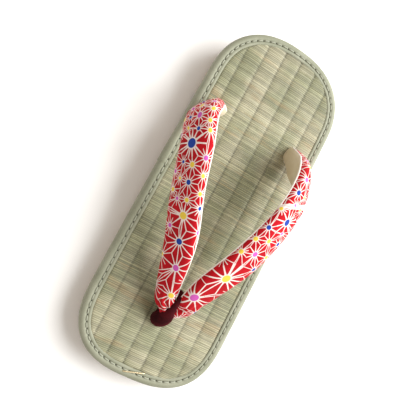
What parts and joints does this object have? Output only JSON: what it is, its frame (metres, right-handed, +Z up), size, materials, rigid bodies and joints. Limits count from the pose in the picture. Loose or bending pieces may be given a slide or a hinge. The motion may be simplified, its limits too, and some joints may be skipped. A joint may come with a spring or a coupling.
{
  "type": "zori sandal",
  "caption": "Flat zori sandal: rush mat footbed with a taped edge, foam wedge, zigzag rubber outsole and padded printed straps held by a velvet toe post.",
  "frame": {"origin": "on the floor under the middle of the sole's outline", "axes": "+Y towards the toe, +X to the wearer's right, +Z up"},
  "size_m": [0.0974, 0.24, 0.0683],
  "materials": {
    "outsole_rubber": "tan moulded rubber, matt",
    "midsole_foam": "off-white foam rubber, matt and slightly grained",
    "rush_mat": "woven rush in lengthwise columns, low sheen",
    "edge_tape": "grey-green coated tape, stitched",
    "strap_cotton": "red cotton printed with small white-rayed flowers",
    "strap_lining": "off-white lining and piping",
    "post_velvet": "dark maroon velvet",
    "stitch_thread": "pale thread",
    "staple_wire": "pale gold wire"
  },
  "bodies": {
    "root": {"outsole": "outsole_rubber", "midsole": "midsole_foam", "footbed": "rush_mat", "binding": "edge_tape", "hanao": "strap_cotton", "maetsubo": "post_velvet"}
  },
  "joints": []
}
